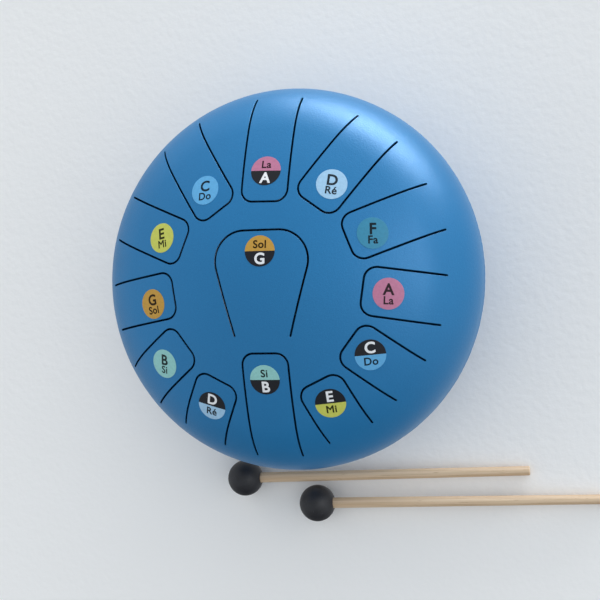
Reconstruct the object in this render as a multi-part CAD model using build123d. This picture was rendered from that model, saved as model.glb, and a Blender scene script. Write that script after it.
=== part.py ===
from build123d import *
import os
from math import asin, atan2, cos, degrees, hypot, radians, sin, sqrt

# A steel tongue drum: two pressed steel shells welded at the rim, thirteen
# tongues cut in the upper shell, a note sticker on each tongue, four push-in
# rubber feet and a pair of ball mallets lying in front.  Millimetres.
# Origin: on the drum's axis, in the plane of the lower shell's flat underside.
# +Z is the drum's axis, towards the playing face.

# ---- Shells ----
RIM_RADIUS = 152.5
SHEET = 1.6
SHOULDER_RADIUS = 67.5
SHOULDER_SWEEP = 67.5
BELLY_RADIUS = 60.0
BELLY_SWEEP = 62.0
BASE_RADIUS = 82.0
SOUND_HOLE_RADIUS = 32.5

# ---- Rim weld ----
WELD_GROOVE = 0.8
WELD_CROWN = 0.35

# ---- Tongues ----
SLOT_WIDTH = 1.5
TONGUE_TIP_HALF_WIDTH = 17.4
TONGUE_ROOT_HALF_WIDTH = 18.0
TONGUE_CORNER_RADIUS = 8.9

# Note: direction of the tongue (degrees), and the distances from the drum's axis
# of its free end and of its slot's two ends.  Lower notes have longer tongues.
RIM_TONGUES = {
    "a3": (88.6, 54.5, 136.2),
    "b3": (-89.3, 55.5, 134.4),
    "c4": (124.6, 59.5, 135.4),
    "d4": (54.0, 63.5, 134.2),
    "e4": (158.2, 67.0, 133.5),
    "f4": (22.0, 67.5, 131.2),
    "g4": (-170.8, 72.0, 133.2),
    "a4": (-8.2, 73.5, 128.2),
    "b4": (-142.7, 79.5, 136.2),
    "c5": (-36.5, 78.0, 127.6),
    "d5": (-116.0, 84.5, 133.2),
    "e5": (-63.3, 85.0, 128.8),
}

# The lowest note, G3, is the wide tongue in the middle of the face.
MIDDLE_TIP_Y = 33.7
MIDDLE_TIP_HALF_WIDTH = 42.0
MIDDLE_ROOT_Y = -42.8
MIDDLE_ROOT_HALF_WIDTH = 21.2
MIDDLE_CORNER_RADIUS = 22.0

# ---- Note stickers ----
STICKER_RADIUS = 11.3
STICKER_THICKNESS = 0.15
STICKER_GAP = 0.04

# Note: centre of its sticker (x, y); they were stuck on by hand.
STICKER_PLACES = {
    "g3": (-0.2, 18.5),
    "a3": (1.9, 77.5),
    "b3": (-0.2, -74.9),
    "c4": (-46.0, 65.5),
    "d4": (50.8, 65.7),
    "e4": (-82.4, 31.2),
    "f4": (80.1, 29.8),
    "g4": (-90.8, -18.8),
    "a4": (90.6, -13.3),
    "b4": (-83.9, -64.5),
    "c5": (76.9, -56.7),
    "d5": (-45.6, -95.8),
    "e5": (46.6, -92.0),
}

# ---- Rubber feet ----
FOOT_COUNT = 4
FOOT_CIRCLE_RADIUS = 66.0
FOOT_HEIGHT = 9.0
FOOT_TOP_RADIUS = 10.0
FOOT_TREAD_RADIUS = 8.5
FOOT_EDGE_RADIUS = 1.2
FOOT_HOLE_RADIUS = 3.0
FOOT_STEM_CLEARANCE = 0.05
FOOT_BARB_RADIUS = 4.2
FOOT_BARB_HEIGHT = 4.0
FOOT_TIP_RADIUS = 2.0

# ---- Mallets ----
MALLET_HEAD_RADIUS = 15.5
MALLET_SOCKET_DEPTH = 20.0
MALLET_FACET_RADIUS = 6.0
STICK_HEAD_RADIUS = 4.5
STICK_TAIL_RADIUS = 3.8
STICK_REACH = 244.5
STICK_END_ROUND = 1.0
TAIL_LIFT = 0.1

# Mallet: where its head touches the floor (x, y) and its heading (degrees).
MALLETS = {
    1: (-61.5, -173.0, 3.3),
    2: (4.0, -192.0, 3.0),
}

# ---- Derived sizes ----
shoulder_turn = radians(SHOULDER_SWEEP)
shoulder_x = RIM_RADIUS - SHOULDER_RADIUS
crown_radius = (RIM_RADIUS - SHOULDER_RADIUS * (1 - cos(shoulder_turn))) / cos(shoulder_turn)
crown_rise = SHOULDER_RADIUS * sin(shoulder_turn) + crown_radius * (1 - sin(shoulder_turn))

belly_turn = radians(BELLY_SWEEP)
belly_x = RIM_RADIUS - BELLY_RADIUS
dish_radius = (RIM_RADIUS - BELLY_RADIUS * (1 - cos(belly_turn)) - BASE_RADIUS) / cos(belly_turn)
seam_z = BELLY_RADIUS * sin(belly_turn) + dish_radius * (1 - sin(belly_turn))

crown_top_z = seam_z + crown_rise
crown_centre_z = crown_top_z - crown_radius
floor_z = -FOOT_HEIGHT


def upper_meridian(depth):
    """Edges of the upper shell's outline, depth mm inside its outer surface."""
    shoulder = SHOULDER_RADIUS - depth
    crown = crown_radius - depth
    rim = (shoulder_x + shoulder, seam_z)
    joint = (
        shoulder_x + shoulder * cos(shoulder_turn),
        seam_z + shoulder * sin(shoulder_turn),
    )
    half = shoulder_turn / 2
    shoulder_mid = (shoulder_x + shoulder * cos(half), seam_z + shoulder * sin(half))
    top = (0, crown_centre_z + crown)
    crown_half = radians(90 + SHOULDER_SWEEP) / 2
    crown_mid = (crown * cos(crown_half), crown_centre_z + crown * sin(crown_half))
    return [
        ThreePointArc(rim, shoulder_mid, joint),
        ThreePointArc(joint, crown_mid, top),
    ]


def lower_meridian(depth):
    """Edges of the lower shell's outline, from the rim to the sound hole."""
    belly = BELLY_RADIUS - depth
    dish = dish_radius - depth
    rim = (belly_x + belly, seam_z)
    joint = (belly_x + belly * cos(belly_turn), seam_z - belly * sin(belly_turn))
    half = belly_turn / 2
    belly_mid = (belly_x + belly * cos(half), seam_z - belly * sin(half))
    dish_half = radians(90 + BELLY_SWEEP) / 2
    dish_mid = (
        BASE_RADIUS + dish * cos(dish_half),
        dish_radius - dish * sin(dish_half),
    )
    base = (BASE_RADIUS, depth)
    return [
        ThreePointArc(rim, belly_mid, joint),
        ThreePointArc(joint, dish_mid, base),
        Line(base, (SOUND_HOLE_RADIUS, depth)),
    ]


def revolved(edges):
    """Close the edges, drawn as (radius, height), and turn them about Z."""
    outline = Wire([Plane.XZ * edge for edge in edges])
    return revolve(Face(outline), Axis.Z, 360)


def band(outer, inner):
    """The strip between two outlines that run from the rim inwards."""
    at_rim = Line(inner[0] @ 0, outer[0] @ 0)
    at_end = Line(outer[-1] @ 1, inner[-1] @ 1)
    return revolved(outer + [at_end] + inner + [at_rim])


def groove_section():
    """Corners of the V groove that the two chamfered rims leave at the seam."""
    root = (RIM_RADIUS - WELD_GROOVE, seam_z)
    upper_lip = (RIM_RADIUS, seam_z + WELD_GROOVE)
    lower_lip = (RIM_RADIUS, seam_z - WELD_GROOVE)
    return root, upper_lip, lower_lip


def rim_chamfer():
    """A ring as wide as the V groove, taken off both rims."""
    root, upper_lip, lower_lip = groove_section()
    outside = RIM_RADIUS + 2 * WELD_GROOVE
    rise = 3 * WELD_GROOVE
    return revolved([
        Line(root, (outside, seam_z - rise)),
        Line((outside, seam_z - rise), (outside, seam_z + rise)),
        Line((outside, seam_z + rise), root),
    ])


def slot(path):
    """A cut of the slot's width along a path in plan, with round ends."""
    outline = offset(path, SLOT_WIDTH / 2, kind=Kind.ARC)
    return extrude(Pos(0, 0, seam_z) * make_face(outline), crown_rise + SHEET)


def rim_slot(direction, tip, root):
    """The U-shaped slot round one tongue of the outer ring."""
    path = FilletPolyline(
        (root, -TONGUE_ROOT_HALF_WIDTH),
        (tip, -TONGUE_TIP_HALF_WIDTH),
        (tip, TONGUE_TIP_HALF_WIDTH),
        (root, TONGUE_ROOT_HALF_WIDTH),
        radius=TONGUE_CORNER_RADIUS,
    )
    return Rot(0, 0, direction) * slot(path)


def middle_slot():
    """The wide slot round the middle tongue, which narrows to its root."""
    path = FilletPolyline(
        (-MIDDLE_ROOT_HALF_WIDTH, MIDDLE_ROOT_Y),
        (-MIDDLE_TIP_HALF_WIDTH, MIDDLE_TIP_Y),
        (MIDDLE_TIP_HALF_WIDTH, MIDDLE_TIP_Y),
        (MIDDLE_ROOT_HALF_WIDTH, MIDDLE_ROOT_Y),
        radius=MIDDLE_CORNER_RADIUS,
    )
    return slot(path)


def upper_shell():
    """The playing face: a domed shell with thirteen tongues cut in it."""
    shell = band(upper_meridian(0), upper_meridian(SHEET)) - rim_chamfer()
    for direction, tip, root in RIM_TONGUES.values():
        shell -= rim_slot(direction, tip, root)
    return shell - middle_slot()


def foot_places():
    """Centres of the feet, on the diagonals."""
    return PolarLocations(FOOT_CIRCLE_RADIUS, FOOT_COUNT, start_angle=45)


def lower_shell():
    """The base: a dished shell with a sound hole and a hole for each foot."""
    shell = band(lower_meridian(0), lower_meridian(SHEET)) - rim_chamfer()
    for place in foot_places():
        shell -= place * Cylinder(FOOT_HOLE_RADIUS, 4 * SHEET)
    return shell


def seam_weld():
    """The weld that fills the V groove and stands slightly proud."""
    root, upper_lip, lower_lip = groove_section()
    crest = (RIM_RADIUS + WELD_CROWN, seam_z)
    return revolved([
        Line(root, lower_lip),
        ThreePointArc(lower_lip, crest, upper_lip),
        Line(upper_lip, root),
    ])


def note_sticker(x, y):
    """A thin vinyl disc that follows the dome, centred at one place."""
    lean = asin(hypot(x, y) / crown_radius)
    height = crown_centre_z + crown_radius * cos(lean)
    tilt = Rot(0, 0, degrees(atan2(y, x))) * Rot(0, degrees(lean), 0)
    place = Pos(x, y, height) * tilt
    vinyl = band(
        upper_meridian(-STICKER_GAP - STICKER_THICKNESS),
        upper_meridian(-STICKER_GAP),
    )
    return vinyl & place * Cylinder(STICKER_RADIUS, 2 * STICKER_RADIUS)


def foot(place):
    """A rubber foot with a stem and barb that snap through the base."""
    stem = FOOT_HOLE_RADIUS - FOOT_STEM_CLEARANCE
    barb_z = SHEET + FOOT_STEM_CLEARANCE
    tread = FOOT_TREAD_RADIUS
    edge = FOOT_EDGE_RADIUS
    corners = Polyline(
        (0, floor_z),
        (tread, floor_z),
        (FOOT_TOP_RADIUS, -edge),
        (FOOT_TOP_RADIUS - edge, 0),
        (stem, 0),
        (stem, barb_z),
        (FOOT_BARB_RADIUS, barb_z),
        (FOOT_TIP_RADIUS, barb_z + FOOT_BARB_HEIGHT),
        (0, barb_z + FOOT_BARB_HEIGHT),
        close=True,
    )
    body = revolve(Face(Plane.XZ * corners.wire()), Axis.Z, 360)
    tread_edge = body.edges().group_by(Axis.Z)[0]
    return place * fillet(tread_edge, edge)


def mallet_place(x, y, heading):
    """A frame with its origin in the head and +Z along the stick."""
    drop = MALLET_HEAD_RADIUS - STICK_TAIL_RADIUS - TAIL_LIFT
    run = sqrt(STICK_REACH ** 2 - drop ** 2)
    along = (run * cos(radians(heading)), run * sin(radians(heading)), -drop)
    return Plane(origin=(x, y, floor_z + MALLET_HEAD_RADIUS), z_dir=along).location


def facet_height():
    """Distance from the head's centre to its flat face round the stick."""
    return sqrt(MALLET_HEAD_RADIUS ** 2 - MALLET_FACET_RADIUS ** 2)


def mallet_head(place):
    """A rubber ball with a flat face and a blind socket for the stick."""
    facet = facet_height()
    ball = Sphere(MALLET_HEAD_RADIUS)
    above_facet = Pos(0, 0, facet + MALLET_HEAD_RADIUS) * Box(
        2 * MALLET_HEAD_RADIUS, 2 * MALLET_HEAD_RADIUS, 2 * MALLET_HEAD_RADIUS
    )
    socket = Pos(0, 0, facet - MALLET_SOCKET_DEPTH / 2) * Cylinder(
        STICK_HEAD_RADIUS, MALLET_SOCKET_DEPTH
    )
    return place * (ball - above_facet - socket)


def mallet_stick(place):
    """A turned wooden stick, straight in the head and tapered to its tail."""
    facet = facet_height()
    butt = facet - MALLET_SOCKET_DEPTH
    corners = Polyline(
        (0, butt),
        (STICK_HEAD_RADIUS, butt),
        (STICK_HEAD_RADIUS, facet),
        (STICK_TAIL_RADIUS, STICK_REACH),
        (0, STICK_REACH),
        close=True,
    )
    stick = revolve(Face(Plane.XZ * corners.wire()), Axis.Z, 360)
    tail_edge = stick.edges().group_by(Axis.Z)[-1]
    return place * fillet(tail_edge, STICK_END_ROUND)


def write(name, shape):
    """Save one sub-part under its own name."""
    shape.label = name
    export_step(shape, f"parts/{name}.step")


def main():
    os.makedirs("parts", exist_ok=True)
    write("upper_shell", upper_shell())
    write("lower_shell", lower_shell())
    write("seam_weld", seam_weld())
    for note, (x, y) in STICKER_PLACES.items():
        write(f"sticker_{note}", note_sticker(x, y))
    for number, place in enumerate(foot_places(), start=1):
        write(f"foot_{number}", foot(place))
    for number, (x, y, heading) in MALLETS.items():
        place = mallet_place(x, y, heading)
        write(f"mallet_head_{number}", mallet_head(place))
        write(f"mallet_stick_{number}", mallet_stick(place))
    print("seam height", round(seam_z, 3))
    print("crown height", round(crown_top_z, 3), "crown radius", round(crown_radius, 3))
    print("dish radius", round(dish_radius, 3))


main()
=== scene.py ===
from math import acos, asin, atan2, cos, hypot, pi, radians, sin, sqrt, tan

import bmesh
import bpy
import numpy as np
from mathutils import Matrix, Vector
from mathutils.geometry import delaunay_2d_cdt


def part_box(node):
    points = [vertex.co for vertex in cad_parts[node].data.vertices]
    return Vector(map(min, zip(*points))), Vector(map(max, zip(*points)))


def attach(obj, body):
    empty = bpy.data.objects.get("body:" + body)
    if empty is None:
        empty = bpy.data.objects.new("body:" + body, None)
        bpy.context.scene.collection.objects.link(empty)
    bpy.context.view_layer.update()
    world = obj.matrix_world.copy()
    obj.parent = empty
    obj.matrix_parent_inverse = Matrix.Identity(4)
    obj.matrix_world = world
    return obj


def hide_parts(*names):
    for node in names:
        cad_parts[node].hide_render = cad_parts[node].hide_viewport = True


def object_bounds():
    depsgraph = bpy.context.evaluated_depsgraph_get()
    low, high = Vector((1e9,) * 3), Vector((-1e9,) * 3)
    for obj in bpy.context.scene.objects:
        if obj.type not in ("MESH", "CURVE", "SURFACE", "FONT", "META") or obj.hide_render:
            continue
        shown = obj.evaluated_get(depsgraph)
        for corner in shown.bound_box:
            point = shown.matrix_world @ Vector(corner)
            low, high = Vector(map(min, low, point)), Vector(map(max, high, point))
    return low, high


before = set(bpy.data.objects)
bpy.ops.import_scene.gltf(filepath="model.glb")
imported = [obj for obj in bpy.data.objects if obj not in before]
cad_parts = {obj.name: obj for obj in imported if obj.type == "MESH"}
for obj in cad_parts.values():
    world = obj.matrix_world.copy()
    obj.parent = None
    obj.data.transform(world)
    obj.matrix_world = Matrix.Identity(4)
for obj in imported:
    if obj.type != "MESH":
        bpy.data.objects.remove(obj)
cad_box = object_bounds()

# A steel tongue drum and its two mallets, in metres, in the frame's own axes:
# the drum's axis is Z and its playing face looks up.
MM = 0.001

# ---- Shells, as in the part's source ----
SHEET = 1.6 * MM
SHOULDER_RADIUS = 67.5 * MM
SHOULDER_SWEEP = radians(67.5)
BELLY_RADIUS = 60.0 * MM
BELLY_SWEEP = radians(62.0)
BASE_RADIUS = 82.0 * MM
SOUND_HOLE_RADIUS = 32.5 * MM
WELD_GROOVE = 0.8 * MM
WELD_CROWN = 0.35 * MM

# ---- Slots round the tongues ----
SLOT_WIDTH = 1.5 * MM
TIP_HALF_WIDTH = 17.4 * MM
ROOT_HALF_WIDTH = 18.0 * MM
TONGUE_CORNER = 8.9 * MM
MIDDLE_TIP_Y = 33.7 * MM
MIDDLE_TIP_HALF_WIDTH = 42.0 * MM
MIDDLE_ROOT_Y = -42.8 * MM
MIDDLE_ROOT_HALF_WIDTH = 21.2 * MM
MIDDLE_CORNER = 22.0 * MM

# ---- Notes: tongue direction (degrees), distances of its tip and of its slot's
# ends from the axis (mm), sticker turn (degrees), where the black half is, if
# any, and the lettering.
NOTES = {
    "a3": dict(turn=88.6, tip=54.5, root=136.2, roll=-2, black="below", letter="A", name="La"),
    "b3": dict(turn=-89.3, tip=55.5, root=134.4, roll=1, black="below", letter="B", name="Si"),
    "c4": dict(turn=124.6, tip=59.5, root=135.4, roll=4, black=None, letter="C", name="Do"),
    "d4": dict(turn=54.0, tip=63.5, root=134.2, roll=-8, black=None, letter="D", name="Ré"),
    "e4": dict(turn=158.2, tip=67.0, root=133.5, roll=10, black=None, letter="E", name="Mi"),
    "f4": dict(turn=22.0, tip=67.5, root=131.2, roll=0, black=None, letter="F", name="Fa"),
    "g4": dict(turn=-170.8, tip=72.0, root=133.2, roll=8, black=None, letter="G", name="Sol"),
    "a4": dict(turn=-8.2, tip=73.5, root=128.2, roll=-2, black=None, letter="A", name="La"),
    "b4": dict(turn=-142.7, tip=79.5, root=136.2, roll=-10, black=None, letter="B", name="Si"),
    "c5": dict(turn=-36.5, tip=78.0, root=127.6, roll=5, black="above", letter="C", name="Do"),
    "d5": dict(turn=-116.0, tip=84.5, root=133.2, roll=-15, black="above", letter="D", name="Ré"),
    "e5": dict(turn=-63.3, tip=85.0, root=128.8, roll=7, black="above", letter="E", name="Mi"),
    "g3": dict(turn=90.0, tip=None, root=None, roll=0, black="below", letter="G", name="Sol"),
}
LONGEST_ROOT = max(n["root"] for n in NOTES.values() if n["root"]) * MM
# The slotted part of the dome reaches this far past the slots' ends.
ROOT_MARGIN = 4 * MM

# ---- Feet ----
FEET = (1, 2, 3, 4)
FOOT_HOLE_RADIUS = 3.0 * MM
FOOT_STEM_RADIUS = 2.95 * MM
FOOT_TOP_RADIUS = 10.0 * MM
FOOT_TOP_HEIGHT = 1.2 * MM
FOOT_CLEARANCE = 0.01 * MM  # between a foot and the base
FOOT_TREAD_RADIUS = 8.5 * MM
FOOT_TREAD_GROOVE = 0.5 * MM
FOOT_BARB_RADIUS = 4.2 * MM
FOOT_BARB_HEIGHT = 4.0 * MM
FOOT_TIP_RADIUS = 2.0 * MM

# ---- Mallets ----
MALLETS = (1, 2)
HEAD_RADIUS = 15.49 * MM
FACET_RADIUS = 6.0 * MM
SOCKET_DEPTH = 20.0 * MM
STICK_HEAD_RADIUS = 4.5 * MM
STICK_TAIL_RADIUS = 3.8 * MM
STICK_REACH = 244.48 * MM
STICK_END_ROUND = 1.0 * MM

# ---- Stickers ----
STICKER_RADIUS = 11.3 * MM
STICKER_GAP = 0.04 * MM
STICKER_THICKNESS = 0.15 * MM
STICKER_EDGE_ROUND = 0.05 * MM
STICKER_TOP = STICKER_GAP + STICKER_THICKNESS
INK_HEIGHT = 0.04 * MM

# ---- Lettering: text size, and by how much its strokes are grown (mm) ----
LETTER_SIZE, LETTER_WEIGHT = 11.3, 0.32
NAME_SIZE, NAME_WEIGHT = 8.0, 0.19
# Heights of the letter's and the name's baselines on a sticker (mm), by the black half.
BASELINES = {"below": (-9.3, 2.2), "above": (1.6, -7.3), None: (-0.7, -7.4)}

# ---- Mesh fineness ----
RING_STEP = 3.0 * MM
SLOT_STEP = 2.0 * MM
ARC_STEP = 0.9 * MM
RIM_SEGMENTS = 360
SOUND_HOLE_SIDES = 120
FOOT_HOLE_SIDES = 24
SHOULDER_STATIONS = 20
BELLY_STATIONS = 24
DISH_STATIONS = 12
WELD_SEGMENTS = 1080
WELD_STATIONS = 9
FOOT_SEGMENTS = 64
STICK_SEGMENTS = 64
HEAD_SEGMENTS = 128
HEAD_STEPS = 72
STICKER_SEGMENTS = 72
STICKER_RINGS = (1.5, 3.0, 4.5, 6.0, 7.5, 9.0)  # their radii in mm
LETTER_CORNER_SIDES = 10
# The rounded edge where a sheet is cut.
EDGE_ROUND = 0.25 * MM
EDGE_STEPS = 3
# Free space, in ring steps, round each point of a sheet's mesh.
HALO_OFFSET, HALO_GAP, FILL_GAP = 0.55, 0.45, 0.7
RIM_GAP, CUT_GAP = 0.5, 0.4


# ------------------------------------------------------------------ the dome

weld_low, weld_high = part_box("seam_weld")
RIM_RADIUS = weld_high.x - WELD_CROWN
SEAM_Z = (weld_low.z + weld_high.z) / 2
CROWN_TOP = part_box("upper_shell")[1].z
FLOOR_Z = cad_box[0].z

shoulder_x = RIM_RADIUS - SHOULDER_RADIUS
crown_angle = pi / 2 - SHOULDER_SWEEP
crown_radius = shoulder_x / sin(crown_angle) + SHOULDER_RADIUS
crown_centre = CROWN_TOP - crown_radius
crown_arc = crown_radius * crown_angle

belly_x = RIM_RADIUS - BELLY_RADIUS
dish_angle = pi / 2 - BELLY_SWEEP
dish_radius = (belly_x - BASE_RADIUS) / sin(dish_angle) + BELLY_RADIUS


def dome_lean(radius, depth=0.0):
    """Angle from +Z of the dome's normal, at a distance from the axis."""
    crown = crown_radius - depth
    if radius <= crown * sin(crown_angle):
        return asin(radius / crown)
    return asin(min(1.0, (radius - shoulder_x) / (SHOULDER_RADIUS - depth)))


def dome_height(radius, depth=0.0):
    """Height of the dome, depth inside its outer surface."""
    lean = dome_lean(radius, depth)
    if lean <= crown_angle:
        return crown_centre + (crown_radius - depth) * cos(lean)
    return SEAM_Z + (SHOULDER_RADIUS - depth) * cos(lean)


def dome_arclength(radius):
    """Distance over the dome from its top to a distance from the axis."""
    lean = dome_lean(radius)
    if lean <= crown_angle:
        return crown_radius * lean
    return crown_arc + SHOULDER_RADIUS * (lean - crown_angle)


def dome_radius(arclength):
    """Distance from the axis at a distance over the dome from its top."""
    if arclength <= crown_arc:
        return crown_radius * sin(arclength / crown_radius)
    lean = crown_angle + (arclength - crown_arc) / SHOULDER_RADIUS
    return shoulder_x + SHOULDER_RADIUS * sin(lean)


def leaning(direction, lean):
    """Unit vector that leans from +Z towards a direction in plan."""
    return Vector((sin(lean) * cos(direction), sin(lean) * sin(direction), cos(lean)))


def wrap(point, lift):
    """The place over the dome nearest to a point, lifted along the normal."""
    direction = atan2(point.y, point.x)
    from_centre = Vector(point) - Vector((0, 0, crown_centre))
    lean = acos(from_centre.z / from_centre.length)
    if lean <= crown_angle:
        centre = Vector((0, 0, crown_centre))
        radius = crown_radius
    else:
        centre = Vector((shoulder_x * cos(direction), shoulder_x * sin(direction), SEAM_Z))
        lean = atan2(hypot(point.x, point.y) - shoulder_x, point.z - SEAM_Z)
        radius = SHOULDER_RADIUS
    normal = leaning(direction, lean)
    return centre + normal * (radius + lift), normal


# ------------------------------------------------------------- mesh building

class Build:
    """Vertices with their normals, and faces with their material numbers."""

    def __init__(self):
        self.points = []
        self.normals = []
        self.faces = []
        self.paints = []

    def add(self, point, normal):
        self.points.append(tuple(point))
        self.normals.append(tuple(normal))
        return len(self.points) - 1

    def face(self, corners, paint=0):
        if len(set(corners)) == len(corners):
            self.faces.append(tuple(corners))
            self.paints.append(paint)

    def strip(self, ring_a, ring_b):
        """Quads between two closed rings of the same count."""
        for i in range(len(ring_a)):
            j = (i + 1) % len(ring_a)
            self.face((ring_a[i], ring_a[j], ring_b[j], ring_b[i]))

    def move(self, place):
        """Carry all the points and normals to a place."""
        turn = place.to_3x3()
        self.points = [tuple(place @ Vector(point)) for point in self.points]
        self.normals = [tuple(turn @ Vector(normal)) for normal in self.normals]

    def finish(self, name, body, materials, slot=None, replaced=()):
        """Make the piece with its materials, and say what it rides on and replaces."""
        mesh = bpy.data.meshes.new(name)
        mesh.from_pydata(self.points, [], self.faces)
        mesh.polygons.foreach_set("material_index", self.paints)
        mesh.polygons.foreach_set("use_smooth", [True] * len(self.faces))
        mesh.normals_split_custom_set_from_vertices(self.normals)
        mesh.update()
        piece = bpy.data.objects.new(name, mesh)
        bpy.context.scene.collection.objects.link(piece)
        for material in materials:
            mesh.materials.append(material)
        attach(piece, body)
        if replaced:
            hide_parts(*replaced)


def round_turns(count):
    """Evenly spaced angles all round a circle."""
    return [2 * pi * i / count for i in range(count)]


def lathe_normals(profile):
    """Outward normals of a profile of (radius, height), for smooth shading."""
    normals = []
    for i, here in enumerate(profile):
        total = Vector((0.0, 0.0))
        for a, b in ((i - 1, i), (i, i + 1)):
            if 0 <= a and b < len(profile):
                run = Vector(profile[b]) - Vector(profile[a])
                total += Vector((run.y, -run.x))
        normals.append(total.normalized())
    return normals


# A radius below this is a pole, which is one vertex.
ON_AXIS = 1e-9


def lathe(build, profile, segments):
    """Turn a profile of (radius, height) about Z, its outside to the right."""
    rings = []
    for (radius, height), normal in zip(profile, lathe_normals(profile)):
        ring = []
        for i, around in enumerate(round_turns(segments)):
            c, s = cos(around), sin(around)
            if radius < ON_AXIS and i:
                ring.append(ring[0])
                continue
            point = (radius * c, radius * s, height)
            ring.append(build.add(point, (normal.x * c, normal.x * s, normal.y)))
        rings.append(ring)
    for low, high in zip(rings, rings[1:]):
        for i in range(segments):
            j = (i + 1) % segments
            corners = []
            for corner in (low[i], low[j], high[j], high[i]):
                if corner not in corners:
                    corners.append(corner)
            if len(corners) > 2:
                build.face(corners)


def rounded(corners, steps=5):
    """A profile through (x, y, radius) corners, with an arc at each radius."""
    path = []
    for i, (x, y, radius) in enumerate(corners):
        here = Vector((x, y))
        if radius == 0 or i in (0, len(corners) - 1):
            path.append(tuple(here))
            continue
        before = (Vector(corners[i - 1][:2]) - here).normalized()
        after = (Vector(corners[i + 1][:2]) - here).normalized()
        half = acos(max(-1.0, min(1.0, before.dot(after)))) / 2
        centre = here + (before + after).normalized() * (radius / sin(half))
        start = here + before * (radius / tan(half)) - centre
        finish = here + after * (radius / tan(half)) - centre
        turn = start.angle_signed(finish)
        for k in range(steps + 1):
            path.append(tuple(centre + Matrix.Rotation(-turn * k / steps, 2) @ start))
    return path


# ------------------------------------------------------------ slots in plan

def along(start, finish, step):
    """Points from start up to finish, without finish, about a step apart."""
    count = max(1, round((finish - start).length / step))
    return [start.lerp(finish, i / count) for i in range(count)]


def slot_path(corners, radius, turn=0.0):
    """A slot's centreline in plan: straight runs joined by arcs."""
    bends = [(*corner, radius) for corner in corners[1:-1]]
    arcs = rounded([(*corners[0], 0)] + bends + [(*corners[-1], 0)], round(radius / ARC_STEP))
    points = [Vector(p) for p in arcs]
    path = []
    for a, b in zip(points, points[1:]):
        path += along(a, b, SLOT_STEP)
    path.append(points[-1])
    return [Matrix.Rotation(turn, 2) @ p for p in path]


def slot_outline(path):
    """(place, outward direction) all round a slot with round ends."""
    sides = []
    for i, here in enumerate(path):
        run = path[min(i + 1, len(path) - 1)] - path[max(i - 1, 0)]
        sides.append(Vector((run.y, -run.x)).normalized())
    end_turns = [Matrix.Rotation(pi * k / 6, 2) for k in range(1, 6)]
    there = list(zip(path, sides))
    back = [(place, -side) for place, side in reversed(there)]
    far_end = [(path[-1], turn @ sides[-1]) for turn in end_turns]
    near_end = [(path[0], turn @ -sides[0]) for turn in end_turns]
    return there + far_end + back + near_end


def hole_outline(x, y, count):
    """The same for a round hole, whose centreline is its centre."""
    return [(Vector((x, y)), Vector((cos(a), sin(a)))) for a in round_turns(count)]


def drum_slots():
    """Outlines of the thirteen slots."""
    outlines = []
    for note in NOTES.values():
        if note["tip"] is None:
            corners = [
                (-MIDDLE_ROOT_HALF_WIDTH, MIDDLE_ROOT_Y),
                (-MIDDLE_TIP_HALF_WIDTH, MIDDLE_TIP_Y),
                (MIDDLE_TIP_HALF_WIDTH, MIDDLE_TIP_Y),
                (MIDDLE_ROOT_HALF_WIDTH, MIDDLE_ROOT_Y),
            ]
            path = slot_path(corners, MIDDLE_CORNER)
        else:
            tip, root = note["tip"] * MM, note["root"] * MM
            corners = [
                (root, -ROOT_HALF_WIDTH),
                (tip, -TIP_HALF_WIDTH),
                (tip, TIP_HALF_WIDTH),
                (root, ROOT_HALF_WIDTH),
            ]
            path = slot_path(corners, TONGUE_CORNER, radians(note["turn"]))
        outlines.append(slot_outline(path))
    return outlines


# -------------------------------------------------------- sheets with cuts

class DomeSkin:
    """The upper shell's sheet: outside up, meshed as if it were unrolled."""

    flipped = False
    unroll = staticmethod(dome_arclength)
    reroll = staticmethod(dome_radius)
    height = staticmethod(dome_height)

    @staticmethod
    def normal(direction, radius):
        return leaning(direction, dome_lean(radius))


class BaseSkin:
    """The flat underside of the lower shell: outside down."""

    flipped = True

    @staticmethod
    def unroll(radius):
        return radius

    reroll = unroll

    @staticmethod
    def height(radius, depth=0.0):
        return depth

    @staticmethod
    def normal(direction, radius):
        return Vector((0, 0, -1))


def inside(polygon, point):
    """Whether a point is inside a polygon, both in the plane."""
    x, y = polygon[:, 0], polygon[:, 1]
    next_x, next_y = np.roll(x, -1), np.roll(y, -1)
    spans = (y > point[1]) != (next_y > point[1])
    with np.errstate(divide="ignore", invalid="ignore"):
        crossing = x + (point[1] - y) * (next_x - x) / (next_y - y)
    return bool(np.count_nonzero(spans & (crossing > point[0])) % 2)


def distance_to(outline, point):
    """Distance in plan from a point to a cut's centreline."""
    starts = np.array([tuple(place) for place, _ in outline])
    runs = np.roll(starts, -1, axis=0) - starts
    lengths = np.maximum((runs ** 2).sum(axis=1), 1e-12)
    offsets = np.array(tuple(point)) - starts
    share = np.clip((offsets * runs).sum(axis=1) / lengths, 0, 1)
    return np.linalg.norm(offsets - runs * share[:, None], axis=1).min()


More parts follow.
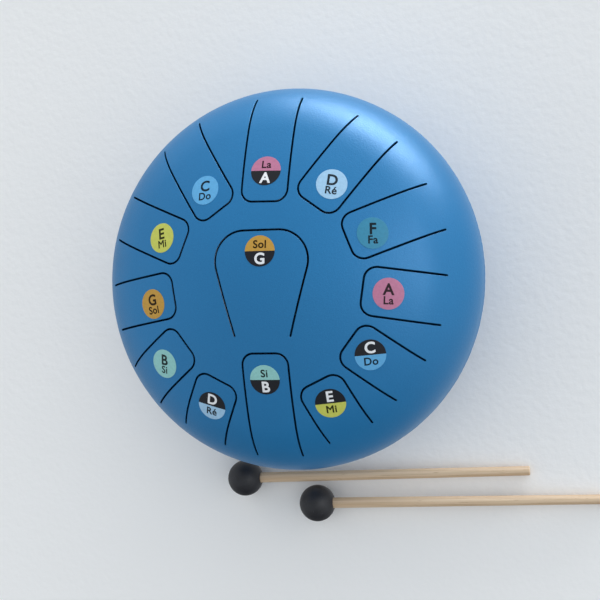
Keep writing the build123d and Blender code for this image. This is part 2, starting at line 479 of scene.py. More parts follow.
def sheet_points(cuts, rim, skin):
    """Places in plan for a sheet's vertices: cut edges, rim, and an even fill.

    Returns the places, the (cut, number) each one comes from, the edges the mesh
    has to keep, and the number of the first place on the rim.
    """
    places = []
    owners = []
    constraints = []
    for number, (outline, half) in enumerate(cuts):
        first = len(places)
        for k, (place, side) in enumerate(outline):
            places.append(place + side * (half + EDGE_ROUND))
            owners.append((number, k))
            constraints.append((first + k, first + (k + 1) % len(outline)))
    first = len(places)
    for i, around in enumerate(round_turns(RIM_SEGMENTS)):
        places.append(Vector((rim * cos(around), rim * sin(around))))
        owners.append(None)
        constraints.append((first + i, first + (i + 1) % RIM_SEGMENTS))
    halo = [
        place + side * (half + EDGE_ROUND + HALO_OFFSET * RING_STEP)
        for outline, half in cuts
        for place, side in outline
    ]
    fill = []
    reach = skin.unroll(rim)
    rings = round(reach / RING_STEP)
    for ring in range(rings):
        radius = skin.reroll(reach * ring / rings)
        count = max(1, round(2 * pi * reach * ring / rings / RING_STEP))
        for i in range(count):
            around = 2 * pi * (i + 0.5 * (ring % 2)) / count
            fill.append(Vector((radius * cos(around), radius * sin(around))))
    taken = np.array(places)
    for added, gap in ((halo, HALO_GAP * RING_STEP), (fill, FILL_GAP * RING_STEP)):
        for place in added:
            if place.length > rim - RIM_GAP * RING_STEP:
                continue
            if np.hypot(taken[:, 0] - place.x, taken[:, 1] - place.y).min() < gap:
                continue
            nearest_cut = min(distance_to(outline, place) - half for outline, half in cuts)
            if nearest_cut > CUT_GAP * RING_STEP:
                places.append(place)
                owners.append(None)
                taken = np.vstack([taken, place])
    return places, owners, constraints, first


def cut_sheet(build, cuts, rim, skin):
    """Add a sheet with rounded cuts.  Returns its outer and inner rim rings."""
    places, owners, constraints, first = sheet_points(cuts, rim, skin)
    flat = [p * (skin.unroll(p.length) / p.length) if p.length else p for p in places]
    _, _, triangles, origins, _, _ = delaunay_2d_cdt(flat, constraints, [], 0, 1e-9)
    flat_outlines = []
    start = 0
    for outline, _ in cuts:
        flat_outlines.append(np.array([tuple(flat[start + k]) for k in range(len(outline))]))
        start += len(outline)

    def vertex(place, depth, normal):
        return build.add((place.x, place.y, skin.height(place.length, depth)), normal)

    outer, inner = [], []
    for place, owner in zip(places, owners):
        normal = skin.normal(atan2(place.y, place.x), place.length)
        outer.append(vertex(place, 0.0, normal))
        if owner:
            outline, half = cuts[owner[0]]
            base, side = outline[owner[1]]
            place = base + side * half
        inner.append(vertex(place, SHEET, -normal))

    def add_face(corners):
        build.face(corners[::-1] if skin.flipped else corners)

    for triangle in triangles:
        corners = [origins[i][0] for i in triangle]
        cut = {owners[i][0] if owners[i] else None for i in corners}
        if len(cut) == 1 and None not in cut:
            centre = sum((flat[i] for i in corners), Vector((0, 0))) / 3
            if inside(flat_outlines[cut.pop()], centre):
                continue  # it would fill the cut
        add_face(tuple(outer[i] for i in corners))
        add_face(tuple(inner[i] for i in reversed(corners)))

    start = 0
    for outline, half in cuts:
        levels = [outer[start:start + len(outline)]]
        for step in range(1, EDGE_STEPS + 1):
            turn = pi / 2 * step / EDGE_STEPS
            below = []
            for place, side in outline:
                spot = place + side * (half + EDGE_ROUND * (1 - sin(turn)))
                up = skin.normal(atan2(spot.y, spot.x), spot.length)
                normal = up * cos(turn) - Vector((*side, 0)) * sin(turn)
                below.append(vertex(spot, EDGE_ROUND * (1 - cos(turn)), normal))
            levels.append(below)
        levels.append(inner[start:start + len(outline)])
        for above, below in zip(levels, levels[1:]):
            for i in range(len(outline)):
                j = (i + 1) % len(outline)
                add_face((above[i], above[j], below[j], below[i]))
        start += len(outline)
    ring = range(first, first + RIM_SEGMENTS)
    return [outer[i] for i in ring], [inner[i] for i in ring]


def rim_ring(build, radius, height, lean):
    """A ring of vertices round the drum's axis."""
    ring = []
    for around in round_turns(RIM_SEGMENTS):
        point = (radius * cos(around), radius * sin(around), height)
        ring.append(build.add(point, leaning(around, lean)))
    return ring


def close_shell(build, outer, inner, stations, flipped):
    """Join the two rims of a sheet through (radius, height, lean) stations."""
    rings = [outer] + [rim_ring(build, *station) for station in stations] + [inner]
    for above, below in zip(rings, rings[1:]):
        build.strip(*((above, below) if flipped else (below, above)))


# ------------------------------------------------------------------ pieces

def upper_shell(paint):
    """The slotted dome, down to its edge, which is cut back for the weld."""
    build = Build()
    rim = LONGEST_ROOT + ROOT_MARGIN
    cuts = [(outline, SLOT_WIDTH / 2) for outline in drum_slots()]
    outer, inner = cut_sheet(build, cuts, rim, DomeSkin)
    groove_lean = acos(WELD_GROOVE / SHOULDER_RADIUS)
    outer_leans = np.linspace(dome_lean(rim), groove_lean, SHOULDER_STATIONS)[1:]
    stations = [
        (shoulder_x + SHOULDER_RADIUS * sin(a), SEAM_Z + SHOULDER_RADIUS * cos(a), a)
        for a in outer_leans
    ]
    stations.append((RIM_RADIUS - WELD_GROOVE, SEAM_Z, pi * 0.8))
    stations.append((RIM_RADIUS - SHEET, SEAM_Z, pi * 1.3))
    bend = SHOULDER_RADIUS - SHEET
    inner_leans = np.linspace(pi / 2, dome_lean(rim, SHEET), SHOULDER_STATIONS)[1:-1]
    stations += [(shoulder_x + bend * sin(a), SEAM_Z + bend * cos(a), a + pi) for a in inner_leans]
    close_shell(build, outer, inner, stations, False)
    build.finish("drum_top", "drum", [paint], "blue_powder_coat", ["upper_shell"])


def lower_shell(paint):
    """The base: a flat underside, a dish and a belly, up to the same cut edge."""
    build = Build()
    cuts = [(hole_outline(0, 0, SOUND_HOLE_SIDES), SOUND_HOLE_RADIUS)]
    for number in FEET:
        low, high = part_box(f"foot_{number}")
        outline = hole_outline((low.x + high.x) / 2, (low.y + high.y) / 2, FOOT_HOLE_SIDES)
        cuts.append((outline, FOOT_HOLE_RADIUS))
    outer, inner = cut_sheet(build, cuts, BASE_RADIUS, BaseSkin)
    stations = []
    for a in np.linspace(0, dish_angle, DISH_STATIONS)[1:]:
        stations.append((BASE_RADIUS + dish_radius * sin(a), dish_radius * (1 - cos(a)), pi - a))
    groove_angle = pi / 2 - asin(WELD_GROOVE / BELLY_RADIUS)
    for a in np.linspace(dish_angle, groove_angle, BELLY_STATIONS)[1:]:
        stations.append((belly_x + BELLY_RADIUS * sin(a), SEAM_Z - BELLY_RADIUS * cos(a), pi - a))
    stations.append((RIM_RADIUS - WELD_GROOVE, SEAM_Z, pi * 0.2))
    stations.append((RIM_RADIUS - SHEET, SEAM_Z, -pi * 0.3))
    bend = BELLY_RADIUS - SHEET
    for a in np.linspace(pi / 2, dish_angle, BELLY_STATIONS)[1:]:
        stations.append((belly_x + bend * sin(a), SEAM_Z - bend * cos(a), -a))
    bend = dish_radius - SHEET
    for a in np.linspace(dish_angle, 0, DISH_STATIONS)[1:-1]:
        stations.append((BASE_RADIUS + bend * sin(a), dish_radius - bend * cos(a), -a))
    close_shell(build, outer, inner, stations, True)
    build.finish("drum_base", "drum", [paint], "blue_powder_coat", ["lower_shell"])


def seam_weld(paint):
    """The painted weld: a low bead with the faint ripple of its passes."""
    build = Build()
    turns = round_turns(WELD_SEGMENTS)
    rings = []
    for across in np.linspace(-1, 1, WELD_STATIONS):
        ring = []
        for around in turns:
            ripple = 0.78 + 0.14 * sin(173 * around + 2.6 * across) + 0.08 * sin(41 * around)
            radius = RIM_RADIUS + WELD_CROWN * ripple * (1 - across ** 2)
            height = SEAM_Z + WELD_GROOVE * across
            point = (radius * cos(around), radius * sin(around), height)
            ring.append(build.add(point, leaning(around, pi / 2 - 0.7 * across)))
        rings.append(ring)
    root_radius = RIM_RADIUS - WELD_GROOVE
    root = []
    for around in turns:
        point = (root_radius * cos(around), root_radius * sin(around), SEAM_Z)
        root.append(build.add(point, leaning(around, -pi / 2)))
    rings += [root, rings[0]]
    for low, high in zip(rings, rings[1:]):
        build.strip(low, high)
    build.finish("rim_weld", "drum", [paint], "blue_powder_coat", ["seam_weld"])


def foot(number, paint):
    """A rubber foot with a ring groove in its tread and a barb over the base."""
    low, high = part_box(f"foot_{number}")
    place = Matrix.Translation(((low.x + high.x) / 2, (low.y + high.y) / 2, 0))
    barb = high.z - FOOT_BARB_HEIGHT
    groove = low.z + FOOT_TREAD_GROOVE
    profile = rounded([
        (0, low.z, 0),
        (FOOT_TREAD_RADIUS * 0.55, low.z, 0.3 * MM),
        (FOOT_TREAD_RADIUS * 0.60, groove, 0.3 * MM),
        (FOOT_TREAD_RADIUS * 0.72, groove, 0.3 * MM),
        (FOOT_TREAD_RADIUS * 0.77, low.z, 0.3 * MM),
        (FOOT_TREAD_RADIUS, low.z, 1.2 * MM),
        (FOOT_TOP_RADIUS, -FOOT_TOP_HEIGHT, 0.8 * MM),
        (FOOT_TOP_RADIUS - FOOT_TOP_HEIGHT, -FOOT_CLEARANCE, 0.3 * MM),
        (FOOT_STEM_RADIUS, -FOOT_CLEARANCE, 0),
        (FOOT_STEM_RADIUS, barb, 0),
        (FOOT_BARB_RADIUS, barb, 0.3 * MM),
        (FOOT_TIP_RADIUS, high.z, 0.5 * MM),
        (0, high.z, 0),
    ])
    build = Build()
    lathe(build, profile, FOOT_SEGMENTS)
    build.move(place)
    build.finish(f"rubber_foot_{number}", "drum", [paint], "foot_rubber", [f"foot_{number}"])


def mallet_place(number):
    """A frame with its origin in the head and +Z along the stick."""
    head_low, head_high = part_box(f"mallet_head_{number}")
    stick_low, stick_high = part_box(f"mallet_stick_{number}")
    head = Vector((
        head_low.x + HEAD_RADIUS, (head_low.y + head_high.y) / 2, head_low.z + HEAD_RADIUS
    ))
    tail = Vector((
        stick_high.x, stick_high.y - STICK_TAIL_RADIUS, stick_low.z + STICK_TAIL_RADIUS
    ))
    turn = (tail - head).to_track_quat("Z", "Y").to_matrix().to_4x4()
    return Matrix.Translation(head) @ turn


# The ball's flat face round the stick, and the socket's bottom, from its centre.
FACET = sqrt(HEAD_RADIUS ** 2 - FACET_RADIUS ** 2)
FACET_ANGLE = asin(FACET / HEAD_RADIUS)
SOCKET_END = FACET - SOCKET_DEPTH


def mallet_head(number, paint):
    """A ball with a flat face, a rounded edge to it and a blind socket."""
    angles = np.linspace(-pi / 2, FACET_ANGLE - 0.09, HEAD_STEPS + 1)
    profile = [(HEAD_RADIUS * cos(a), HEAD_RADIUS * sin(a)) for a in angles]
    profile[0] = (0, -HEAD_RADIUS)
    face = rounded([
        (*profile[-1], 0),
        (HEAD_RADIUS * cos(FACET_ANGLE - 0.01), FACET, 1.1 * MM),
        (STICK_HEAD_RADIUS, FACET, 0.3 * MM),
        (STICK_HEAD_RADIUS, SOCKET_END, 0),
        (0, SOCKET_END, 0),
    ])
    build = Build()
    lathe(build, profile + face[1:], HEAD_SEGMENTS)
    build.move(mallet_place(number))
    name, body, node = f"rubber_ball_{number}", f"mallet_{number}", f"mallet_head_{number}"
    build.finish(name, body, [paint], "mallet_rubber", [node])


def mallet_stick(number, paint):
    """A stick that tapers from the ball to its rounded end."""
    profile = rounded([
        (0, SOCKET_END, 0),
        (STICK_HEAD_RADIUS, SOCKET_END, 0),
        (STICK_HEAD_RADIUS, FACET, 0),
        (STICK_TAIL_RADIUS, STICK_REACH, STICK_END_ROUND),
        (0, STICK_REACH, 0),
    ])
    build = Build()
    lathe(build, profile, STICK_SEGMENTS)
    build.move(mallet_place(number))
    name, body, node = f"wooden_stick_{number}", f"mallet_{number}", f"mallet_stick_{number}"
    build.finish(name, body, [paint], "beech", [node])


# ---------------------------------------------------------------- stickers

class StickerFrame:
    """A flat frame on the dome at a sticker's centre, turned as it is stuck."""

    def __init__(self, note):
        low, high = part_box(f"sticker_{note}")
        self.centre, normal = wrap((low + high) / 2, 0)
        up = (Vector((0, 1, 0)) - normal * normal.y).normalized()
        roll = Matrix.Rotation(radians(NOTES[note]["roll"]), 3, normal)
        self.up = roll @ up
        self.right = self.up.cross(normal)

    def place(self, x, y, lift):
        """A point on the dome at (x, y) on the sticker, and its normal."""
        return wrap(self.centre + self.right * x + self.up * y, lift)


def sticker(note, vinyl, black):
    """A vinyl disc with a rounded edge that follows the dome."""
    build = Build()
    here = StickerFrame(note)
    edge = STICKER_EDGE_ROUND
    stations = [(r * MM, STICKER_TOP, 0.0) for r in STICKER_RINGS]
    stations += [
        (STICKER_RADIUS - edge, STICKER_TOP, 0.0),
        (STICKER_RADIUS - 0.3 * edge, STICKER_TOP - 0.3 * edge, pi / 4),
        (STICKER_RADIUS, STICKER_TOP - edge, pi / 2),
        (STICKER_RADIUS, STICKER_GAP, pi / 2),
    ]
    half = STICKER_SEGMENTS // 2
    halves = {"below": range(half, STICKER_SEGMENTS), "above": range(half), None: ()}
    black_half = halves[NOTES[note]["black"]]
    sides = [
        (i, (i + 1) % STICKER_SEGMENTS, int(i in black_half)) for i in range(STICKER_SEGMENTS)
    ]
    middle = build.add(*here.place(0, 0, STICKER_TOP))
    previous = None
    for radius, lift, lean in stations:
        ring = []
        for around in round_turns(STICKER_SEGMENTS):
            point, normal = here.place(radius * cos(around), radius * sin(around), lift)
            outward = here.right * cos(around) + here.up * sin(around)
            ring.append(build.add(point, (normal * cos(lean) + outward * sin(lean)).normalized()))
        for i, j, paint in sides:
            if previous is None:
                build.face((middle, ring[i], ring[j]), paint)
            else:
                build.face((previous[i], ring[i], ring[j], previous[j]), paint)
        previous = ring
    point, normal = here.place(0, 0, STICKER_GAP)
    under = build.add(point, -normal)
    for i, j, paint in sides:
        build.face((previous[j], previous[i], under), paint)
    materials = [vinyl, black] if NOTES[note]["black"] else [vinyl]
    slot_name = VINYLS[note[0]][0]
    build.finish(f"note_{note}", "drum", materials, slot_name, [f"sticker_{note}"])


def typed(text, size):
    """Corners and triangles of a centred line of text, in the built-in font."""
    curve = bpy.data.curves.new("text", "FONT")
    curve.body = text
    curve.size = size
    curve.align_x = "CENTER"
    curve.align_y = "BOTTOM_BASELINE"
    curve.space_character = 1.06
    curve.resolution_u = 5
    holder = bpy.data.objects.new("text", curve)
    bpy.context.scene.collection.objects.link(holder)
    graph = bpy.context.evaluated_depsgraph_get()
    mesh = bpy.data.meshes.new_from_object(holder.evaluated_get(graph))
    corners = [vertex.co.xy.copy() for vertex in mesh.vertices]
    faces = [tuple(face.vertices) for face in mesh.polygons]
    bpy.data.objects.remove(holder)
    bpy.data.curves.remove(curve)
    bpy.data.meshes.remove(mesh)
    return corners, faces


def border(faces):
    """The directed edges that only one face has."""
    edges = [edge for face in faces for edge in zip(face, face[1:] + face[:1])]
    shared = set(edges)
    return [(a, b) for a, b in edges if (b, a) not in shared]


def bolder(corners, faces, weight):
    """The same flat shapes, grown by a weight all round with round corners."""
    grown, cells = list(corners), list(faces)
    for a, b in border(faces):
        run = (corners[b] - corners[a]).normalized() * weight
        side = Vector((run.y, -run.x))
        first = len(grown)
        grown += [corners[a] - side, corners[a] + side, corners[b] + side, corners[b] - side]
        cells.append((first, first + 1, first + 2, first + 3))
        first = len(grown)
        turns = round_turns(LETTER_CORNER_SIDES)
        grown += [corners[a] + Matrix.Rotation(turn, 2) @ side for turn in turns]
        cells.append(tuple(range(first, first + len(turns))))
    places, _, triangles, _, _, origins = delaunay_2d_cdt(grown, [], cells, 0, 1e-5)
    shape = bmesh.new()
    spots = [shape.verts.new((*place, 0)) for place in places]
    for triangle, origin in zip(triangles, origins):
        if origin:
            shape.faces.new([spots[i] for i in triangle])
    bmesh.ops.dissolve_limit(shape, angle_limit=0.02, verts=shape.verts, edges=shape.edges)
    bmesh.ops.triangulate(shape, faces=shape.faces[:])
    shape.verts.index_update()
    flat = [spot.co.xy.copy() for spot in shape.verts]
    faces = [tuple(spot.index for spot in face.verts) for face in shape.faces]
    shape.free()
    return flat, faces


def lettering(name, text, note, size, weight, y, ink):
    """Printed letters: bold text laid over a sticker as a thin layer of ink."""
    flat, faces = bolder(*typed(text, size), weight)
    here = StickerFrame(note)
    bottom, top = STICKER_TOP, STICKER_TOP + INK_HEIGHT
    build = Build()

    def corner(spot, lift, outward=None):
        point, normal = here.place(spot.x * MM, (spot.y + y) * MM, lift)
        if outward:
            normal = here.right * outward.x + here.up * outward.y
        return build.add(point, normal)

    above = [corner(spot, top) for spot in flat]
    below = [corner(spot, bottom) for spot in flat]
    for face in faces:
        build.face([above[i] for i in face])
        build.face([below[i] for i in reversed(face)])
    for a, b in border(faces):
        run = (flat[b] - flat[a]).normalized()
        outward = Vector((run.y, -run.x))
        edge = ((a, bottom), (b, bottom), (b, top), (a, top))
        build.face([corner(flat[i], lift, outward) for i, lift in edge])
    build.finish(name, "drum", [ink])


def note_print(note, dark, white):
    """A note's letter and its sung name, on the halves where they belong."""
    facts = NOTES[note]
    letter_y, name_y = BASELINES[facts["black"]]
    letter_ink = white if facts["black"] else dark
    letter, name = facts["letter"], facts["name"]
    lettering(f"letter_{note}", letter, note, LETTER_SIZE, LETTER_WEIGHT, letter_y, letter_ink)
    lettering(f"solfege_{note}", name, note, NAME_SIZE, NAME_WEIGHT, name_y, dark)


# --------------------------------------------------------------- materials

WHITE = (1.0, 1.0, 1.0)


class Paint:
    """A procedural material under construction.  Noise scales are per metre."""

    def __init__(self, name):
        self.material = bpy.data.materials.new(name)
        self.material.use_nodes = True
        self.tree = self.material.node_tree
        self.shader = self.tree.nodes["Principled BSDF"]
        self.place = self.node("ShaderNodeTexCoord").outputs["Object"]

    def node(self, kind, **settings):
        made = self.tree.nodes.new(kind)
        for key, value in settings.items():
            setattr(made, key, value)
        return made

    def link(self, source, target):
        self.tree.links.new(source, target)

    def set(self, **values):
        for key, value in values.items():
            self.shader.inputs[key.replace("_", " ")].default_value = value

    def lie_along(self, place):
        """Measure the pattern from a place, along its own axes."""
        made = self.node("ShaderNodeMapping", vector_type="TEXTURE")
        made.inputs["Location"].default_value = place.translation
        made.inputs["Rotation"].default_value = place.to_euler()
        self.link(self.place, made.inputs["Vector"])
        self.place = made.outputs["Vector"]

    def stretched(self, scale):
        made = self.node("ShaderNodeMapping")
        made.inputs["Scale"].default_value = scale
        self.link(self.place, made.inputs["Vector"])
        return made.outputs["Vector"]

    def noise(self, scale, detail=2.0, roughness=0.5, vector=None):
        made = self.node("ShaderNodeTexNoise")
        made.inputs["Scale"].default_value = scale
        made.inputs["Detail"].default_value = detail
        made.inputs["Roughness"].default_value = roughness
        self.link(vector or self.place, made.inputs["Vector"])
        return made.outputs["Fac"]

    def ramp(self, source, stops):
        made = self.node("ShaderNodeValToRGB")
        elements = made.color_ramp.elements
        while len(elements) < len(stops):
            elements.new(0.5)
        for element, (position, colour) in zip(elements, stops):
            element.position = position
            element.color = (*colour, 1)
        self.link(source, made.inputs["Fac"])
        return made.outputs["Color"]

    def span(self, source, low, high, from_low=0.0, from_high=1.0):
        made = self.node("ShaderNodeMapRange")
        made.inputs["From Min"].default_value = from_low
        made.inputs["From Max"].default_value = from_high
        made.inputs["To Min"].default_value = low
        made.inputs["To Max"].default_value = high
        self.link(source, made.inputs["Value"])
        return made.outputs["Result"]

    def mix(self, factor, a, b, blend="MIX"):
        made = self.node("ShaderNodeMix", data_type="RGBA", blend_type=blend)
        for name, value in (("Factor", factor), ("A", a), ("B", b)):
            socket = made.inputs[name]
            if isinstance(value, bpy.types.NodeSocket):
                self.link(value, socket)
            else:
                socket.default_value = value
        return [o for o in made.outputs if o.type == "RGBA"][0]

    def bump(self, *layers):
        """Layers of (height source, distance, strength), one over another."""
        normal = None
        for source, distance, strength in layers:
            made = self.node("ShaderNodeBump")
            made.inputs["Distance"].default_value = distance
            made.inputs["Strength"].default_value = strength
            self.link(source, made.inputs["Height"])
            if normal:
                self.link(normal, made.inputs["Normal"])
            normal = made.outputs["Normal"]
        self.link(normal, self.shader.inputs["Normal"])


def powder_coat():
    """Satin blue paint with a fine orange peel and small specks."""
    paint = Paint("blue_powder_coat")
    cloud = paint.noise(9.0, 3.0)
    speck = paint.noise(1900.0, 2.0)
    base = paint.ramp(cloud, [(0.35, (0.0165, 0.184, 0.425)), (0.65, (0.0180, 0.197, 0.452))])
    fine = paint.ramp(speck, [
        (0.30, (0.86, 0.88, 0.90)), (0.62, WHITE), (0.74, (1.12, 1.10, 1.08))
    ])
    paint.link(paint.mix(1.0, base, fine, "MULTIPLY"), paint.shader.inputs["Base Color"])
    paint.link(paint.span(paint.noise(700.0, 3.0), 0.33, 0.45), paint.shader.inputs["Roughness"])
    paint.set(Metallic=0.10, Specular_IOR_Level=0.28, Specular_Tint=(0.95, 0.98, 1.0, 1))
    peel = paint.noise(640.0, 3.0, 0.6)
    paint.bump((peel, 0.22 * MM, 0.55), (speck, 0.10 * MM, 0.6))
    return paint.material


VINYL_GLOSS = 0.22
INK_GLOSS = 0.12


def vinyl(name, colour, gloss=VINYL_GLOSS):
    """Smooth printed film, for the stickers and the ink on them."""
    paint = Paint(name)
    shade = paint.noise(500.0, 4.0)
    low = tuple(c * 0.93 for c in colour)
    high = tuple(min(1.0, c * 1.05) for c in colour)
    paint.link(paint.ramp(shade, [(0.3, low), (0.7, high)]), paint.shader.inputs["Base Color"])
    paint.link(paint.span(paint.noise(1500.0, 2.0), 0.34, 0.46), paint.shader.inputs["Roughness"])
    paint.set(Specular_IOR_Level=gloss)
    paint.bump((paint.noise(1100.0, 2.0), 0.04 * MM, 0.25))
    return paint.material


def rubber(name, tone):
    """Matt rubber with a few specks of dust."""
    paint = Paint(name)
    mottled = paint.noise(160.0, 5.0, 0.65)
    low, high = (tuple(c * k for c in tone) for k in (0.75, 1.25))
    base = paint.ramp(mottled, [(0.32, low), (0.7, high)])
    dust = paint.ramp(paint.noise(1100.0, 1.0, 0.3), [(0.76, (0, 0, 0)), (0.80, WHITE)])
    paint.link(paint.mix(dust, base, (0.10, 0.10, 0.11, 1)), paint.shader.inputs["Base Color"])
    paint.link(paint.span(paint.noise(900.0, 3.0), 0.46, 0.60), paint.shader.inputs["Roughness"])
    paint.set(Specular_IOR_Level=0.4)
    fine, broad = paint.noise(1300.0, 3.0), paint.noise(240.0, 2.0)
    paint.bump((fine, 0.06 * MM, 0.5), (broad, 0.20 * MM, 0.12))
    return paint.material


def beech(number):
    """Wood whose fibres run along one stick."""
    paint = Paint(f"beech_{number}")
    paint.lie_along(mallet_place(number))
    fibres = paint.noise(1.0, 6.0, 0.6, paint.stretched((900, 900, 14)))
    bands = paint.noise(1.0, 3.0, 0.5, paint.stretched((260, 260, 3)))
    flecks = paint.noise(1.0, 2.0, 0.5, paint.stretched((1500, 1500, 110)))
    base = paint.ramp(bands, [
        (0.3, (0.57, 0.39, 0.24)), (0.55, (0.69, 0.51, 0.34)), (0.75, (0.75, 0.59, 0.42))
    ])
    grain = paint.ramp(fibres, [(0.30, (0.78, 0.74, 0.68)), (0.55, WHITE)])
    dots = paint.ramp(flecks, [(0.24, (0.62, 0.52, 0.42)), (0.34, WHITE)])
    colour = paint.mix(1.0, paint.mix(1.0, base, grain, "MULTIPLY"), dots, "MULTIPLY")
    paint.link(colour, paint.shader.inputs["Base Color"])
    paint.link(paint.span(fibres, 0.62, 0.46), paint.shader.inputs["Roughness"])
    paint.bump((fibres, 0.12 * MM, 0.5))
    return paint.material


# A painted shadow: a dark patch of floor under the middle of the drum, so that no pale floor shows
# through the slots and the sound hole.  Low side views see it between the feet.
SHADOW_PATCH_RADIUS = 60 * MM
SHADOW_PATCH_BLUR = 20 * MM


def plaster():
    """Pale, finely uneven plaster, with a dark patch of painted shadow under the drum."""
    paint = Paint("pale_floor")
    cloud = paint.noise(2.2, 3.0)
    pale = paint.ramp(cloud, [(0.3, (0.91, 0.91, 0.91)), (0.7, (0.94, 0.94, 0.94))])
    reach = paint.node("ShaderNodeVectorMath", operation="LENGTH")
    paint.link(paint.place, reach.inputs[0])
    start, end = SHADOW_PATCH_RADIUS - SHADOW_PATCH_BLUR, SHADOW_PATCH_RADIUS + SHADOW_PATCH_BLUR
    # Painted shadow: the floor's colour goes nearly black near the drum's axis, fading out over
    # the blur.
    painted_shadow = paint.ramp(paint.span(reach.outputs["Value"], 0, 1, start, end), [
        (0.4, (0.03, 0.03, 0.03)), (0.6, WHITE)
    ])
    paint.link(paint.mix(1.0, pale, painted_shadow, "MULTIPLY"), paint.shader.inputs["Base Color"])
    paint.set(Roughness=0.85, Specular_IOR_Level=0.0)
    fine, broad = paint.noise(190.0, 4.0), paint.noise(60.0, 3.0)
    paint.bump((fine, 0.8 * MM, 0.35), (broad, 2.0 * MM, 0.12))
    return paint.material


# --------------------------------------------------------- stage and camera

SENSOR_WIDTH = 36.0
CAMERA_FOCAL = 1.5           # focal length over the sensor's width
CAMERA_LEAN = radians(15.8)  # the camera leans this far from the drum's axis towards +X
CAMERA_TILT = radians(-0.2)
CAMERA_ROLL = radians(-0.6)
CAMERA_DISTANCE = 0.7273     # from the middle of the seam, along the view
# Where the view's axis passes the middle of the seam, in the camera's own axes.
CAMERA_SHIFT = Vector((5.85 * MM, -16.5 * MM))


def camera():
    data = bpy.data.cameras.new("camera")
    data.sensor_width = SENSOR_WIDTH
    data.lens = SENSOR_WIDTH * CAMERA_FOCAL
    data.clip_start = 0.01
    data.clip_end = 100
    eye = bpy.data.objects.new("camera", data)
    bpy.context.scene.collection.objects.link(eye)
    turn = (
        Matrix.Rotation(CAMERA_TILT, 3, "X")
        @ Matrix.Rotation(-CAMERA_LEAN, 3, "Y")
        @ Matrix.Rotation(-CAMERA_ROLL, 3, "Z")
    ).transposed()
    offset = turn @ Vector((CAMERA_SHIFT.x, CAMERA_SHIFT.y, CAMERA_DISTANCE))
    eye.matrix_world = Matrix.Translation(Vector((0, 0, SEAM_Z)) + offset) @ turn.to_4x4()
    bpy.context.scene.camera = eye


SKY_COLOUR = (0.93, 0.97, 1.0)
WALL_LIGHT = 1.16
CEILING_LIGHT = 0.76
BACKDROP_LIGHT = 0.78
# The sky's strength by direction is the product of these: it goes from low to
# high while the direction's part along an axis goes from start to end.
# (axis, start, end, low, high)
SKY_STEPS = (
    ("Z", 0.40, 0.90, WALL_LIGHT, CEILING_LIGHT),
    ("Z", -0.30, 0.05, 0.6, 1.0),   # dimmer under the horizon
    ("Y", -1.0, -0.40, 0.05, 1.0),  # dark in front, which the lower rim reflects
    ("Y", 0.30, 0.95, 1.0, 1.22),   # brighter on the window's side
    ("X", -1.0, 0.4, 0.82, 1.03),
)
# Lights that aim at the drum: name, place and size (m), power (W), and whether
# a light only makes gleams and doesn't light matt surfaces.
SOFTBOXES = (
    ("window", (5.0, 12.0, 0.99), (9.2, 2.2), 785, False),
    ("window_gleam", (5.0, 12.0, 0.58), (9.9, 1.6), 1120, True),
    ("sill_gleam", (0.20, 0.50, 0.03), (0.64, 0.06), 2.3, True),
    ("side_gleam", (1.30, 0.25, 1.60), (1.0, 0.6), 11, True),
)


def softbox(name, place, size, watts, gleam_only):
    data = bpy.data.lights.new(name, "AREA")
    data.shape = "RECTANGLE"
    data.size, data.size_y = size
    data.energy = watts
    light = bpy.data.objects.new(name, data)
    bpy.context.scene.collection.objects.link(light)
    light.location = place
    light.visible_diffuse = not gleam_only
    light.visible_camera = False
    aim = Vector((0, 0, SEAM_Z)) - Vector(place)
    light.rotation_euler = aim.to_track_quat("-Z", "Y").to_euler()


def studio():
    """A sky like a room with bright walls, a far window and three gleams."""
    world = bpy.data.worlds.new("studio")
    bpy.context.scene.world = world
    world.use_nodes = True
    tree = world.node_tree
    coordinates = tree.nodes.new("ShaderNodeTexCoord")
    split = tree.nodes.new("ShaderNodeSeparateXYZ")
    tree.links.new(coordinates.outputs["Generated"], split.inputs["Vector"])
    strength = None
    for axis, start, end, low, high in SKY_STEPS:
        span = tree.nodes.new("ShaderNodeMapRange")
        span.interpolation_type = "SMOOTHSTEP"
        span.inputs["From Min"].default_value = start
        span.inputs["From Max"].default_value = end
        span.inputs["To Min"].default_value = low
        span.inputs["To Max"].default_value = high
        tree.links.new(split.outputs[axis], span.inputs["Value"])
        if strength:
            product = tree.nodes.new("ShaderNodeMath")
            product.operation = "MULTIPLY"
            tree.links.new(strength, product.inputs[0])
            tree.links.new(span.outputs["Result"], product.inputs[1])
            strength = product.outputs["Value"]
        else:
            strength = span.outputs["Result"]
    # Where the camera sees past the floor, it sees one even tone like the floor's.
    path = tree.nodes.new("ShaderNodeLightPath")
    even = tree.nodes.new("ShaderNodeMix")
    even.inputs["B"].default_value = BACKDROP_LIGHT
    tree.links.new(path.outputs["Is Camera Ray"], even.inputs["Factor"])
    tree.links.new(strength, even.inputs["A"])
    background = tree.nodes["Background"]
    background.inputs["Color"].default_value = (*SKY_COLOUR, 1)
    tree.links.new(even.outputs["Result"], background.inputs["Strength"])
    for settings in SOFTBOXES:
        softbox(*settings)


FLOOR_REACH = 2.6


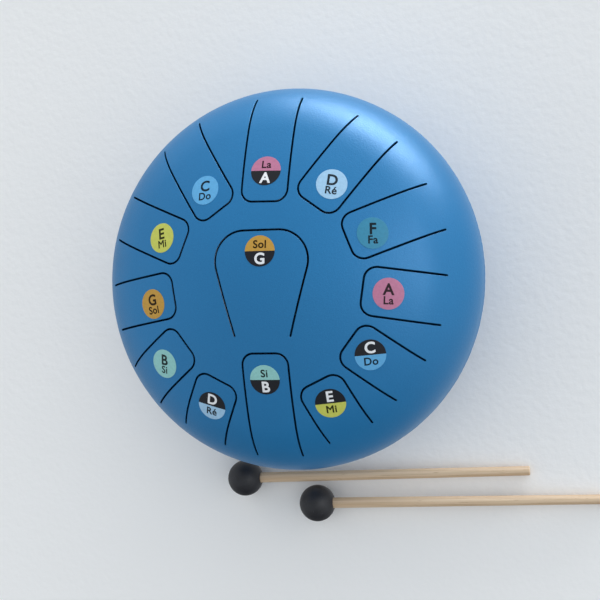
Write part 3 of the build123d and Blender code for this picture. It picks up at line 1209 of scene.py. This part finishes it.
def floor():
    """The stage's floor, left out of reflections, where it would veil the rim."""
    mesh = bpy.data.meshes.new("floor")
    signs = ((-1, -1), (1, -1), (1, 1), (-1, 1))
    corners = [(x * FLOOR_REACH, y * FLOOR_REACH, FLOOR_Z) for x, y in signs]
    mesh.from_pydata(corners, [], [(0, 1, 2, 3)])
    mesh.materials.append(plaster())
    ground = bpy.data.objects.new("floor", mesh)
    ground.visible_glossy = False
    bpy.context.scene.collection.objects.link(ground)


# ---------------------------------------------------------------- the scene

FOOT_TONE = (0.022, 0.022, 0.023)
BALL_TONE = (0.017, 0.0175, 0.022)
BLACK_PRINT = (0.010, 0.011, 0.016)
WHITE_PRINT = (0.85, 0.87, 0.905)
# The dark ink lets a little of the vinyl's colour through.
INK_TINT = 0.05
# Vinyl by note letter: the material's name and colour.
VINYLS = {
    "a": ("vinyl_pink", (0.51, 0.187, 0.31)),
    "b": ("vinyl_mint", (0.29, 0.60, 0.58)),
    "c": ("vinyl_blue", (0.118, 0.41, 0.73)),
    "d": ("vinyl_light_blue", (0.345, 0.57, 0.79)),
    "e": ("vinyl_lime", (0.585, 0.61, 0.115)),
    "f": ("vinyl_teal", (0.036, 0.24, 0.39)),
    "g": ("vinyl_orange", (0.555, 0.313, 0.055)),
}


def main():
    blue = powder_coat()
    upper_shell(blue)
    lower_shell(blue)
    seam_weld(blue)
    foot_rubber = rubber("foot_rubber", FOOT_TONE)
    for number in FEET:
        foot(number, foot_rubber)
    ball_rubber = rubber("mallet_rubber", BALL_TONE)
    for number in MALLETS:
        mallet_head(number, ball_rubber)
        mallet_stick(number, beech(number))
    black = vinyl("print_black", BLACK_PRINT)
    white = vinyl("print_white", WHITE_PRINT)
    for key, (name, colour) in VINYLS.items():
        plain = vinyl(name, colour)
        dark = vinyl(f"print_on_{name}", tuple(INK_TINT * c for c in colour), INK_GLOSS)
        for note in NOTES:
            if note[0] == key:
                sticker(note, plain, black)
                note_print(note, dark, white)
    floor()
    studio()
    camera()
    bpy.context.scene.view_settings.view_transform = "Standard"


main()
